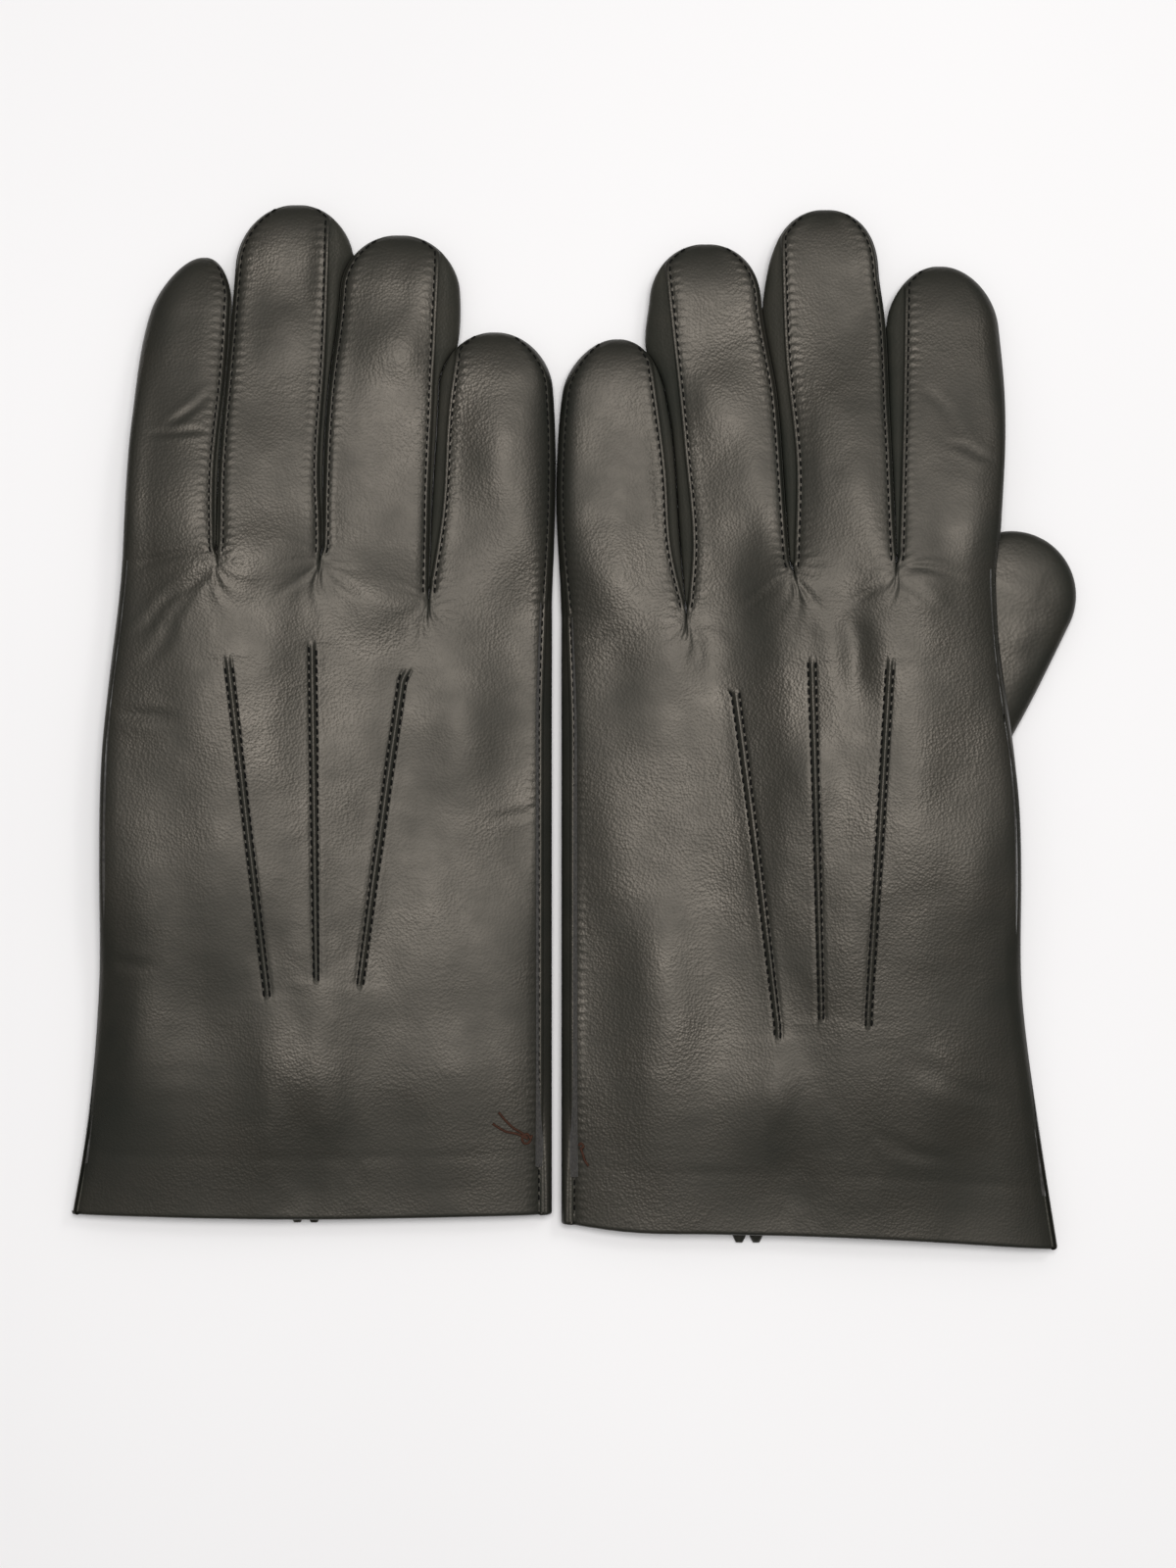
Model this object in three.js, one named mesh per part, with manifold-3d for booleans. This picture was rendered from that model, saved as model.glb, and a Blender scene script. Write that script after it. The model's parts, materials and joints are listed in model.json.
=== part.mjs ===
// A pair of gentlemen's lined leather gloves, lying palm down side by side.
//
// Each glove is drawn in its own plane and then placed: u runs from the little finger's side to the
// index finger's side, v from the cuff to the fingertips, and z up from the table. All sizes are in mm.
import * as THREE from 'three';
import Module from 'manifold-3d';
import { mergeVertices } from 'three/addons/utils/BufferGeometryUtils.js';

// ---- driving dimensions ------------------------------------------------------------------------

const LEATHER = 0.9; // thickness of the skin
const LINING = 0.8; // thickness of the knitted lining
const GAP = 0.3; // clearance between neighbouring pieces

const HAND_THICK = 12; // thickness of the hand lying empty, at the cuff
const FINGER_THICK = 10.8; // thickness of a finger lying empty
const FINGER_BASE = 0.3; // how far its underside is above the palm's
const THUMB_THICK = 9.2; // thickness of the thumb, which lies under the palm

const KNUCKLE_V = 178; // the line across all four fingers where they bend
const FINGER_OVERLAP = 6; // how far each finger runs down into the hand
const HEM_HEIGHT = 14.5; // the turned hem inside the cuff
const FOURCHETTE_WIDTH = 5; // side strips between the fingers
const FOURCHETTE_REACH = 0.75; // how far short of the tip they end, in half-widths of the finger
const POINT_WIDTH = 1.6; // the raised ridges on the back
const POINT_HEIGHT = 0.6;
const THREAD_WIDTH = 0.8; // the thread that pairs the gloves

// The crotch below the little finger is lower than the others: v rises between two values of u.
const CROTCH = { little: 150, others: 160, between: [28, 44] };

const THUMB = { base: [85, 100.8], reach: 59.8, half: 16, hole: 11 };
const VENT = { length: 32, width: 7, slot: 0.8 }; // the bound slit at the palm side of the wrist

// The palm rides up over the thumb: it rises between each pair of u or v values.
const RISE = { height: THUMB_THICK + GAP, u: [50, 69], v: [56, 82], fall: [190, 218] };

// Widths across the hand, and for each finger the middle of its root, its middle, its tip, and the
// half-widths at its root and near its tip.
const RIGHT = {
  side: 'right',
  origin: [-6.3, -119.8],
  mirrored: true,
  cuff: [0, 0], // v of the cuff's edge at the little finger's side and at the index finger's side
  widths: { cuff: 118, wrist: 111.5, palm: 110, knuckles: 105.3 },
  fingers: {
    little: { root: [14.7, 150], middle: [13.4, 190], tip: [13.6, 217], half: [14.1, 12.2] },
    ring: { root: [42.4, 160], middle: [40.2, 202], tip: [36.7, 240.5], half: [12.2, 12.2] },
    middle: { root: [68.2, 160], middle: [66.4, 202], tip: [63.6, 248.5], half: [12.1, 12.5] },
    index: { root: [93.2, 160], middle: [91.6, 202], tip: [87.6, 235.5], half: [11.4, 9.8] },
  },
  points: [[79.3, 136.7, 69.6, 52.7], [58.4, 139.8, 57.7, 56.6], [36.4, 133.3, 46.8, 55.2]],
  thumbAngle: 0, // degrees out from the direction of the fingers
  vent: 61,
  thread: [[6, 17.5], [12.6, 24], [14.4, 21.6]], // knot and the ends of its two tails
};

const LEFT = {
  side: 'left',
  origin: [-3.4, -122.5],
  mirrored: false,
  cuff: [3, -5.7],
  widths: { cuff: 122, wrist: 113.5, palm: 110.8, knuckles: 105.8 },
  fingers: {
    little: { root: [14.6, 150], middle: [12.6, 190], tip: [11.6, 217.5], half: [14.0, 11.8] },
    ring: { root: [42.4, 160], middle: [39.2, 202], tip: [36.6, 240.5], half: [12.4, 12.8] },
    middle: { root: [68.8, 160], middle: [66.6, 202], tip: [65, 249.5], half: [12.2, 13.2] },
    index: { root: [94.2, 160], middle: [94.8, 202], tip: [95.2, 235.5], half: [11.8, 12.6] },
  },
  points: [[80.5, 138.6, 75.2, 48.2], [61.1, 138.6, 63.5, 49.4], [42.4, 130.9, 53.1, 44.8]],
  thumbAngle: 26,
  vent: 46,
  thread: [[4.6, 17.9], [6.3, 13.7]],
};

const SIDES_WITH_FOURCHETTE = { little: [1], ring: [-1, 1], middle: [-1, 1], index: [-1] };

// ---- materials ---------------------------------------------------------------------------------

const material = (color, roughness) => new THREE.MeshStandardMaterial({ color, roughness, metalness: 0 });
const LEATHER_BLACK = () => material('#2b2925', 0.55);
const FOURCHETTE_BLACK = () => material('#23211e', 0.6);
const LINING_GREY = () => material('#35332f', 0.95);
const STITCH_BLACK = () => material('#1b1a18', 0.7);
const THREAD_BROWN = () => material('#6b4a2b', 0.8);

// ---- solids ------------------------------------------------------------------------------------

const wasm = await Module();
wasm.setup();
const FAR = 400; // half the size of a cutting box that reaches past the whole glove

function toManifold(positions, indices) {
  const vertProperties = Float32Array.from(positions);
  const triVerts = Uint32Array.from(indices);
  return new wasm.Manifold(new wasm.Mesh({ numProp: 3, vertProperties, triVerts }));
}

function fromGeometry(geometry) {
  geometry.deleteAttribute('normal');
  geometry.deleteAttribute('uv');
  const merged = mergeVertices(geometry, 1e-4);
  return toManifold(merged.attributes.position.array, merged.index.array);
}

// A closed solid through rings that each hold the same number of points, with flat ends.
function loft(rings) {
  const count = rings[0].length;
  const positions = rings.flat(2);
  const indices = [];
  for (let row = 0; row + 1 < rings.length; row += 1) {
    for (let i = 0; i < count; i += 1) {
      const a = row * count + i;
      const b = row * count + ((i + 1) % count);
      indices.push(a, a + count, b, b, a + count, b + count);
    }
  }
  for (const [row, turn] of [[0, 0], [rings.length - 1, 1]]) {
    const middle = [0, 1, 2].map((k) => rings[row].reduce((sum, p) => sum + p[k], 0) / count);
    const at = positions.length / 3;
    positions.push(...middle);
    for (let i = 0; i < count; i += 1) {
      const a = row * count + i;
      const b = row * count + ((i + 1) % count);
      indices.push(at, ...(turn ? [b, a] : [a, b]));
    }
  }
  return toManifold(positions, indices);
}

const union = (solids) => solids.reduce((whole, each) => whole.add(each));

function block(low, high) {
  const size = high.map((v, k) => v - low[k]);
  const box = new THREE.BoxGeometry(...size);
  box.translate(...high.map((v, k) => (v + low[k]) / 2));
  return fromGeometry(box);
}

// A flat outline in the plane of the glove, standing from z = low to z = high.
function prism(outline, low, high) {
  const shape = new THREE.Shape(outline.map(([u, v]) => new THREE.Vector2(u, v)));
  const geometry = new THREE.ExtrudeGeometry(shape, { depth: high - low, bevelEnabled: false });
  geometry.translate(0, 0, low);
  return fromGeometry(geometry);
}

// A strip of the given width between two points of the glove's plane.
function strip([u1, v1], [u2, v2], width, low, high) {
  const along = new THREE.Vector2(u2 - u1, v2 - v1).normalize();
  const across = new THREE.Vector2(-along.y, along.x).multiplyScalar(width / 2);
  const outline = [
    [u1 + across.x, v1 + across.y],
    [u1 - across.x, v1 - across.y],
    [u2 - across.x, v2 - across.y],
    [u2 + across.x, v2 + across.y],
  ];
  return prism(outline, low, high);
}

// ---- the shape of a glove ----------------------------------------------------------------------

const lift = (u, v) => {
  const { smoothstep } = THREE.MathUtils;
  const over = smoothstep(u, ...RISE.u) * smoothstep(v, ...RISE.v);
  return RISE.height * over * (1 - smoothstep(v, ...RISE.fall));
};

// One ring across the glove: a rounded flat oval with a level underside, u from a to b, thick high.
const SQUARENESS = 3.2;
const UNDERSIDE = 0.85; // how far down the oval is cut level
function ring(a, b, v, thick, base, count, inset, rise = lift) {
  const points = [];
  const round = (x) => Math.sign(x) * Math.abs(x) ** (2 / SQUARENESS);
  for (let i = 0; i < count; i += 1) {
    const angle = (2 * Math.PI * i) / count;
    const u = (a + b) / 2 + ((b - a) / 2 - inset) * round(Math.cos(angle));
    const z = (Math.max(round(Math.sin(angle)), -UNDERSIDE) + UNDERSIDE) / (1 + UNDERSIDE);
    const at = typeof v === 'function' ? v(u) : v;
    points.push([u, at, rise(u, at) + base + inset + z * (thick - 2 * inset)]);
  }
  return points;
}

const HAND_ROWS = [0, 0.17, 0.33, 0.42, 0.51, 0.68, 0.84, 1];
const CUFF_OVERRUN = 6; // how far the hollow runs out past the cuff

// The hand from the cuff to the crotches of the fingers, drawn in by inset all round.
function handForm(glove, inset, open) {
  const { cuff, wrist, palm, knuckles } = glove.widths;
  const width = new THREE.CatmullRomCurve3(
    [cuff, wrist, palm, knuckles].map((w, i) => new THREE.Vector3(w, i, 0)),
  );
  const cuffAt = (u) => THREE.MathUtils.lerp(...glove.cuff, u / cuff);
  const step = CROTCH.others - CROTCH.little;
  const endAt = (u) => CROTCH.little + step * THREE.MathUtils.smoothstep(u, ...CROTCH.between) - inset;
  const rings = HAND_ROWS.map((t) => {
    const across = width.getPoint(t).x;
    const v = (u) => THREE.MathUtils.lerp(cuffAt(u), endAt(u), t);
    const thick = THREE.MathUtils.lerp(HAND_THICK, FINGER_THICK + 0.4, t);
    return ring(0.2, across, v, thick, 0, 14, inset);
  });
  if (open) {
    rings.unshift(rings[0].map(([u, v, z]) => [u, v - CUFF_OVERRUN, z]));
  }
  return loft(rings);
}

const TIP_ANGLES = [90, 57, 25]; // the round end of a finger, as degrees round from its very tip
const TIP_THINNING = 0.7; // below 1, the end of a finger stays thick until close to its tip

// Where a finger's middle is, and how wide it is, at each v.
function fingerLine(finger) {
  const { root, middle, tip, half } = finger;
  const curve = new THREE.QuadraticBezierCurve(
    new THREE.Vector2(...root),
    new THREE.Vector2(
      2 * middle[0] - (root[0] + tip[0]) / 2,
      (root[1] + tip[1]) / 2,
    ),
    new THREE.Vector2(...tip),
  );
  const span = tip[1] - root[1];
  return (v) => {
    const t = (v - root[1]) / span;
    const at = t < 0 ? root[0] + t * 2 * (middle[0] - root[0]) : curve.getPoint(t).x;
    return { u: at, half: THREE.MathUtils.lerp(...half, THREE.MathUtils.clamp(t, 0, 1)) };
  };
}

function fingerForm(finger, inset) {
  const line = fingerLine(finger);
  const round = finger.half[1];
  const end = finger.tip[1] - inset;
  const start = finger.root[1] - FINGER_OVERLAP;
  const rings = [0, 0.4, 0.6, 0.8].map((t) => {
    const v = THREE.MathUtils.lerp(start, end - round, t);
    const { u, half } = line(v);
    return ring(u - half, u + half, v, FINGER_THICK, FINGER_BASE, 10, inset);
  });
  for (const degrees of TIP_ANGLES) {
    const angle = THREE.MathUtils.degToRad(degrees);
    const v = end - round * (1 - Math.cos(angle));
    const { u, half } = line(v);
    const across = (half - inset) * Math.sin(angle) + inset;
    const thick = (FINGER_THICK - 2 * inset) * Math.sin(angle) ** TIP_THINNING + 2 * inset;
    const base = FINGER_BASE + (FINGER_THICK - thick) / 2;
    rings.push(ring(u - across, u + across, v, thick, base, 10, inset));
  }
  return loft(rings);
}

// The region of a finger's side wall that its fourchette takes, grown by margin.
function fourchetteForm(finger, side, margin) {
  const line = fingerLine(finger);
  const depth = 3; // on either side of the finger's widest line
  const overrun = 10; // how far it runs past the knuckle line
  const high = FOURCHETTE_WIDTH / 2 + margin;
  const end = finger.tip[1] - FOURCHETTE_REACH * finger.half[1] + margin;
  const rings = [0, 0.25, 0.5, 0.75, 1].map((t) => {
    const v = THREE.MathUtils.lerp(KNUCKLE_V - overrun, end, t);
    const { u, half } = line(v);
    const inner = u + side * (half - depth);
    const outer = u + side * (half + depth);
    const middle = lift(u + side * half, v) + FINGER_BASE + FINGER_THICK / 2;
    const [a, b] = [Math.min(inner, outer), Math.max(inner, outer)];
    return [[b, v, middle - high], [b, v, middle + high], [a, v, middle + high], [a, v, middle - high]];
  });
  return loft(rings);
}

// The thumb lies on the table, with both ends round, and points away from its base at an angle to v.
function thumbForm(glove, inset) {
  const { reach, half } = THUMB;
  const flat = () => 0;
  const bottom = TIP_ANGLES.toReversed().map((d) => [-1, d]);
  const top = TIP_ANGLES.map((d) => [1, d]);
  const rings = [...bottom, ...top].map(([end, degrees]) => {
    const angle = THREE.MathUtils.degToRad(degrees);
    const v = (end > 0 ? reach : 0) + end * (half - inset) * Math.cos(angle);
    const across = (half - inset) * Math.sin(angle) + inset;
    const thick = (THUMB_THICK - 2 * inset) * Math.sin(angle) ** TIP_THINNING + 2 * inset;
    return ring(-across, across, v, thick, (THUMB_THICK - thick) / 2, 10, inset, flat);
  });
  const turn = THREE.MathUtils.degToRad(glove.thumbAngle);
  const [baseU, baseV] = THUMB.base;
  const turned = ([u, v, z]) => [
    baseU + u * Math.cos(turn) + v * Math.sin(turn),
    baseV + v * Math.cos(turn) - u * Math.sin(turn),
    z,
  ];
  return loft(rings.map((each) => each.map(turned)));
}

// ---- the pieces of a glove ---------------------------------------------------------------------

const belowKnuckles = block([-FAR, -FAR, -FAR], [FAR, KNUCKLE_V - GAP / 2, FAR]);
const aboveKnuckles = block([-FAR, KNUCKLE_V + GAP / 2, -FAR], [FAR, FAR, FAR]);

// Everything on the cuff's side of a line that follows the cuff's edge at the given height.
function cuffSide(glove, height) {
  const [near, far] = glove.cuff;
  const slope = (far - near) / glove.widths.cuff;
  const outline = [
    [-FAR, near - slope * FAR + height],
    [FAR, near + slope * FAR + height],
    [FAR, -FAR],
    [-FAR, -FAR],
  ];
  return prism(outline.reverse(), -FAR, FAR);
}

function thumbHole() {
  const [u, v] = THUMB.base;
  const deep = 10;
  const cylinder = new THREE.CylinderGeometry(THUMB.hole, THUMB.hole, deep, 20);
  cylinder.rotateX(Math.PI / 2);
  cylinder.translate(u, v, THUMB_THICK);
  return fromGeometry(cylinder);
}

// The slit at the palm side of the wrist, as wide as its binding, grown by margin.
function ventForm(glove, margin) {
  const half = VENT.width / 2 + margin;
  const low = [glove.vent - half, -FAR, -FAR];
  const high = [glove.vent + half, VENT.length + margin, HAND_THICK / 2];
  return block(low, high);
}

function skinOf(glove, inset, open) {
  const fingers = Object.values(glove.fingers).map((finger) => fingerForm(finger, inset));
  return union([handForm(glove, inset, open), ...fingers]);
}

function buildGlove(glove) {
  const pieces = {};
  const add = (name, solid, look) => {
    pieces[name] = { solid, look };
  };
  const inner = LEATHER + GAP; // how far in the lining's outer face is
  const hollow = inner + LINING;
  const hole = thumbHole();

  const skin = skinOf(glove, 0, false).subtract(skinOf(glove, LEATHER, true));
  add('trank', skin.intersect(belowKnuckles).subtract(hole).subtract(ventForm(glove, GAP)), LEATHER_BLACK);

  const liningForm = skinOf(glove, inner, true).subtract(skinOf(glove, hollow, true));
  const inside = liningForm.subtract(cuffSide(glove, HEM_HEIGHT + GAP)).intersect(belowKnuckles);
  add('hand_lining', inside.subtract(hole).subtract(ventForm(glove, GAP)), LINING_GREY);

  const facing = handForm(glove, inner, true).subtract(handForm(glove, hollow, true));
  const hem = facing.intersect(cuffSide(glove, HEM_HEIGHT)).subtract(cuffSide(glove, 0));
  add('cuff_hem', hem.subtract(ventForm(glove, GAP)), LEATHER_BLACK);

  const wall = handForm(glove, 0, false).subtract(handForm(glove, hollow, true));
  const legs = ventForm(glove, 0).subtract(block(
    [glove.vent - VENT.slot / 2, -FAR, -FAR],
    [glove.vent + VENT.slot / 2, VENT.length - VENT.width / 2, FAR],
  ));
  add('vent_binding', wall.intersect(legs), FOURCHETTE_BLACK);

  const over = handForm(glove, -GAP - POINT_HEIGHT, false).subtract(handForm(glove, -GAP, true));
  glove.points.forEach(([u1, v1, u2, v2], i) => {
    const ridge = strip([u1, v1], [u2, v2], POINT_WIDTH, RISE.height + 0.7, FAR);
    add(`point_${i + 1}`, over.intersect(ridge), STITCH_BLACK);
  });

  const [knot, ...tails] = glove.thread;
  const thread = union(tails.map((tail) => strip(knot, tail, THREAD_WIDTH, HAND_THICK / 2, FAR)));
  add('pairing_thread', over.intersect(thread), THREAD_BROWN);

  for (const [name, finger] of Object.entries(glove.fingers)) {
    const shell = fingerForm(finger, 0).subtract(fingerForm(finger, LEATHER)).intersect(aboveKnuckles);
    let band = shell;
    for (const side of SIDES_WITH_FOURCHETTE[name]) {
      const where = side > 0 ? 'index_side' : 'little_side';
      band = band.subtract(fourchetteForm(finger, side, GAP));
      const piece = shell.intersect(fourchetteForm(finger, side, 0));
      add(`${name}_fourchette_${where}`, piece, FOURCHETTE_BLACK);
    }
    add(`${name}_finger`, band, LEATHER_BLACK);
    const lining = fingerForm(finger, inner).subtract(fingerForm(finger, hollow));
    add(`${name}_lining`, lining.intersect(aboveKnuckles), LINING_GREY);
  }

  const thumb = thumbForm(glove, 0).subtract(thumbForm(glove, LEATHER));
  add('thumb', thumb.subtract(hole), LEATHER_BLACK);
  const thumbLining = thumbForm(glove, inner).subtract(thumbForm(glove, hollow));
  add('thumb_lining', thumbLining.subtract(hole), LINING_GREY);
  return pieces;
}

// Turns a solid of the glove's plane into a mesh beside the other glove, mirrored for the right hand.
function placed(solid, glove) {
  const mesh = solid.getMesh();
  const positions = [];
  const turn = glove.mirrored ? -1 : 1;
  for (let i = 0; i < mesh.numVert; i += 1) {
    const [u, v, z] = mesh.vertProperties.slice(i * mesh.numProp, i * mesh.numProp + 3);
    positions.push(glove.origin[0] + turn * u, glove.origin[1] + v, z);
  }
  const indices = Array.from(mesh.triVerts);
  if (glove.mirrored) {
    for (let i = 0; i < indices.length; i += 3) {
      [indices[i], indices[i + 1]] = [indices[i + 1], indices[i]];
    }
  }
  const geometry = new THREE.BufferGeometry();
  geometry.setAttribute('position', new THREE.Float32BufferAttribute(positions, 3));
  geometry.setIndex(indices);
  return geometry;
}

const pair = new THREE.Group();
for (const glove of [RIGHT, LEFT]) {
  for (const [name, { solid, look }] of Object.entries(buildGlove(glove))) {
    const mesh = new THREE.Mesh(placed(solid, glove), look());
    mesh.name = `${glove.side}_${name}`;
    pair.add(mesh);
  }
}

// The origin is the middle of the pair's footprint, on the table.
const box = new THREE.Box3().setFromObject(pair);
const middle = box.getCenter(new THREE.Vector3());
pair.position.set(-middle.x, -middle.y, -box.min.z);

export default pair;
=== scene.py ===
"""A pair of gentlemen's lined leather gloves, lying palm down on a pale table.

Each glove is drawn in its own plane, in millimetres: u runs from the little finger's side to the index
finger's side, v from the cuff to the fingertips, z up from the table. A glove's skin is made of rings that
run over its back, down one side, under its palm and up the other side. One stack of rings makes the hand,
and one stack more each finger. The pieces of leather are cut out of those stacks along their seams.
"""

import json
import math

import bpy
import numpy as np
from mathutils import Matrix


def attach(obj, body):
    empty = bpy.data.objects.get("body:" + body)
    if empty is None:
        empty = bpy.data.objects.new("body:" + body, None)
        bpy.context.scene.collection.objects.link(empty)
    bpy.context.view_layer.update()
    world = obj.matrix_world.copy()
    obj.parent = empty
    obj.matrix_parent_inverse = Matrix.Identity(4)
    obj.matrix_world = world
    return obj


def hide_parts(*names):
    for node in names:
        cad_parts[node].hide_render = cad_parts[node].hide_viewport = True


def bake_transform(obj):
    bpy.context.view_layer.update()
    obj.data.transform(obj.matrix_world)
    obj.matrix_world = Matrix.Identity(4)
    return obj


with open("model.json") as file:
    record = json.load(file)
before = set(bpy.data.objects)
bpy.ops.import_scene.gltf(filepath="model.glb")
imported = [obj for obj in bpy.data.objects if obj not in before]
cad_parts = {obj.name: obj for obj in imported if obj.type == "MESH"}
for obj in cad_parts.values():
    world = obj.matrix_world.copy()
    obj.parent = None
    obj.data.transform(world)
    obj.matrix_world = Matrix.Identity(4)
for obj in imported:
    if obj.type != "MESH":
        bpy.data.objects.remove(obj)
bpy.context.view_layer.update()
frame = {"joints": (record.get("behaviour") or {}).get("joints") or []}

MM = 0.001

# ---- the pattern of a glove ----------------------------------------------------------------------

FINGERS = ["little", "ring", "middle", "index"]

# For each glove: turn is -1 where u runs towards -x. The cuff's edge and the crotches are as (u, v), and the
# hand's edge on the index finger's side as (v, u). A point runs from its first (u, v) to its second. The
# thumb's angle is in degrees out from the fingers' direction, and the vent is at one u. A bulge is
# (u, v, size across, size along, height). A crease runs from (u, v) to (u, v), with a width and a depth.
#
# Each finger has the two edges of its body and the rows of stitches on its back, all as (v, u), with where
# its tip ends and how long its round end is. A side that is a plain fold has no row of stitches. Where a
# finger lies against the one before it, its low edge is drawn under it, and Outline.body keeps it clear.
GLOVES = {
    "right": {
        "turn": -1,
        "cuff": [(0, -0.5), (62, -1.5), (118, -0.5)],
        "crotches": [(30, 150), (56, 160), (82, 160)],
        "edge": [(-2, 118.5), (15, 115.5), (35, 113), (55, 111.5), (115, 110), (155, 105.5), (170, 104.5)],
        "fingers": {
            "little": {
                "low": [(150, -0.5), (195, -1), (217, 0.5)],
                "high": [(150, 30), (170, 29.5), (195, 28), (217, 27)],
                "tip": 217,
                "round": 14,
                "index_row": [(155, 28.5), (170, 26), (199, 24), (210, 22.5)],
            },
            "ring": {
                "low": [(150, 29.5), (195, 27.5), (217, 22.5), (241, 23.5)],
                "high": [(160, 56), (180, 56), (200, 55), (226, 52), (241, 51.5)],
                "tip": 241,
                "round": 14,
                "little_row": [(153, 30.5), (165, 31), (200, 30), (234, 28.5)],
                "index_row": [(163, 55), (204, 53.5), (224, 52)],
            },
            "middle": {
                "low": [(160, 55.5), (200, 54.5), (219, 52.5), (232, 49), (249, 49)],
                "high": [(160, 82), (180, 81.5), (210, 79.5), (249, 76.5)],
                "tip": 248.5,
                "round": 15,
                "little_row": [(164, 57), (180, 58), (210, 56.5), (245, 55.5)],
                "index_row": [(163, 80), (186, 80), (217, 77.5)],
            },
            "index": {
                "low": [(160, 81.5), (200, 80), (217, 78.5), (236, 75.5)],
                "high": [(155, 105.5), (195, 103), (218, 100), (236, 94)],
                "tip": 235.5,
                "round": 14,
                "little_row": [(163, 83.5), (182, 83.5), (209, 81), (232, 80)],
            },
        },
        "points": [(79.5, 136.5, 69.5, 52.5), (58.5, 140, 57.5, 56.5), (36.5, 133.5, 47, 55)],
        "thumb_angle": 0,
        "vent": 61,
        "bulges": [
            (70, 161, 12, 8, 1.0), (42, 151, 11, 8, 1.1), (56, 28, 8, 16, 1.2), (68, 36, 6, 16, 0.8),
            (20, 118, 8, 14, 0.7), (95, 98, 10, 22, -0.9), (104, 38, 8, 18, 0.8), (30, 60, 10, 20, 0.7),
            (86, 50, 8, 26, -0.8), (66, 216, 8, 9, 0.8), (38, 212, 8, 8, 0.9), (13, 190, 8, 12, 0.6),
        ],
        "creases": [
            (83, 158, 103, 141, 1.2, 0.33), (84, 157, 101, 132, 1.1, 0.26), (86, 162, 106, 158, 1.0, 0.2),
            (58, 158, 66, 152, 0.8, 0.16), (53, 157, 47, 151, 0.8, 0.13), (33, 148, 39, 144, 0.7, 0.13),
            (28, 147, 22, 142, 0.8, 0.13), (82, 203, 95, 192, 0.9, 0.2), (84, 192, 98, 191, 0.9, 0.16),
            (92, 121, 112, 123, 1.5, 0.2), (100, 60, 112, 64, 1.4, 0.2), (2, 100, 14, 96, 1.2, 0.13),
        ],
    },
    "left": {
        "turn": 1,
        "cuff": [(0, 0), (16, -2), (38, -2.5), (74, -3.5), (122, -6.5)],
        "crotches": [(30.5, 149), (56, 159), (82, 160.5)],
        "edge": [(-7, 122.5), (15, 119), (55, 113.5), (105, 112), (145, 107), (160, 106.5), (172, 107.5)],
        "fingers": {
            "little": {
                "low": [(146, 0), (185, -1.5), (205, 0), (218, 2.5)],
                "high": [(149, 30.5), (168, 29), (195, 27), (211, 24.5), (218, 24.5)],
                "tip": 218,
                "round": 13.5,
                "index_row": [(152, 29), (165, 26), (185, 24.5), (212, 21)],
            },
            "ring": {
                "low": [(149, 30), (168, 28.5), (195, 26.5), (204, 25), (216, 20.5), (228, 21.5), (241, 22)],
                "high": [(159, 56), (183, 54.5), (203, 53), (228, 49), (241, 49)],
                "tip": 241.5,
                "round": 14,
                "little_row": [(152, 32), (165, 33), (191, 31), (234, 26.5)],
                "index_row": [(163, 54.5), (190, 53), (211, 51)],
            },
            "middle": {
                "low": [(159, 55.5), (183, 54), (203, 52.5), (226, 49.5), (241, 51.5), (250, 51.5)],
                "high": [(160, 82), (199, 80.5), (223, 79.5), (235, 78), (250, 78.5)],
                "tip": 250,
                "round": 15,
                "little_row": [(163, 58), (186, 58.5), (213, 56), (241, 55)],
                "index_row": [(162, 81), (210, 79.5), (238, 76.5)],
            },
            "index": {
                "low": [(160, 81.5), (199, 80), (221, 80), (236, 81)],
                "high": [(155, 106.5), (175, 108), (205, 109), (228, 107), (236, 106)],
                "tip": 236,
                "round": 15,
                "little_row": [(166, 83.5), (193, 84.5), (231, 85.5)],
            },
        },
        "points": [(80.5, 138.5, 75, 48), (61, 138.5, 63.5, 49.5), (42.5, 131, 53, 45)],
        "thumb_angle": 26,
        "vent": 46,
        "bulges": [
            (54, 157, 10, 9, 1.1), (52, 30, 9, 12, 1.2), (12, 158, 9, 13, 1.0), (60, 108, 7, 16, 0.8),
            (101, 88, 8, 14, 1.0), (87, 155, 8, 8, 0.8), (72, 138, 6, 18, -0.9), (85, 60, 9, 22, -0.9),
            (22, 60, 9, 26, 0.7), (98, 30, 8, 14, 0.8), (66, 200, 8, 10, 0.8), (38, 203, 8, 9, 0.8),
        ],
        "creases": [
            (79, 158, 70, 152, 0.8, 0.16), (84, 157, 92, 150, 1.0, 0.23), (85, 161, 99, 158, 0.9, 0.2),
            (58, 157, 64, 150, 0.8, 0.16), (53, 157, 46, 152, 0.8, 0.16), (33, 146, 40, 142, 0.8, 0.16),
            (95, 192, 108, 187, 1.0, 0.15), (88, 207, 104, 186, 0.9, 0.16), (5, 142, 13, 146, 1.0, 0.16),
            (70, 150, 73, 128, 3.0, 0.33), (88, 40, 104, 30, 2.0, 0.23), (78, 22, 95, 14, 1.5, 0.16),
        ],
    },
}

HAND_THICK = 12.0  # thickness of the hand lying empty, at the cuff
CUFF_DROP, CUFF_DROP_END = 2.4, 38  # the back of the hand slopes down to the cuff's edge
FINGER_THICK = 10.8
FINGER_GAP = 0.03  # between the leather of neighbouring fingers
CLOSE = 0.3  # fingers drawn nearer than this touch
PALM_LEATHER = 0.3  # how far the palm's middle stands off the table
HEM = 14.5  # height of the turned hem inside the cuff
STITCH_PITCH = 2.1
HAND_SIDE = -0.3  # u of the hand's outermost point on the little finger's side
SIDE_SEAM_STEP = 0.3  # how far the side wall's leather lies under the back's at the side seam
INDEX_SIDE_INSET = 0.4  # how far in from its outermost point the back ends on the index finger's side
THUMB = {"base": (85.0, 100.8), "reach": 59.8, "half": 16.0, "thick": 9.0}

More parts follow.
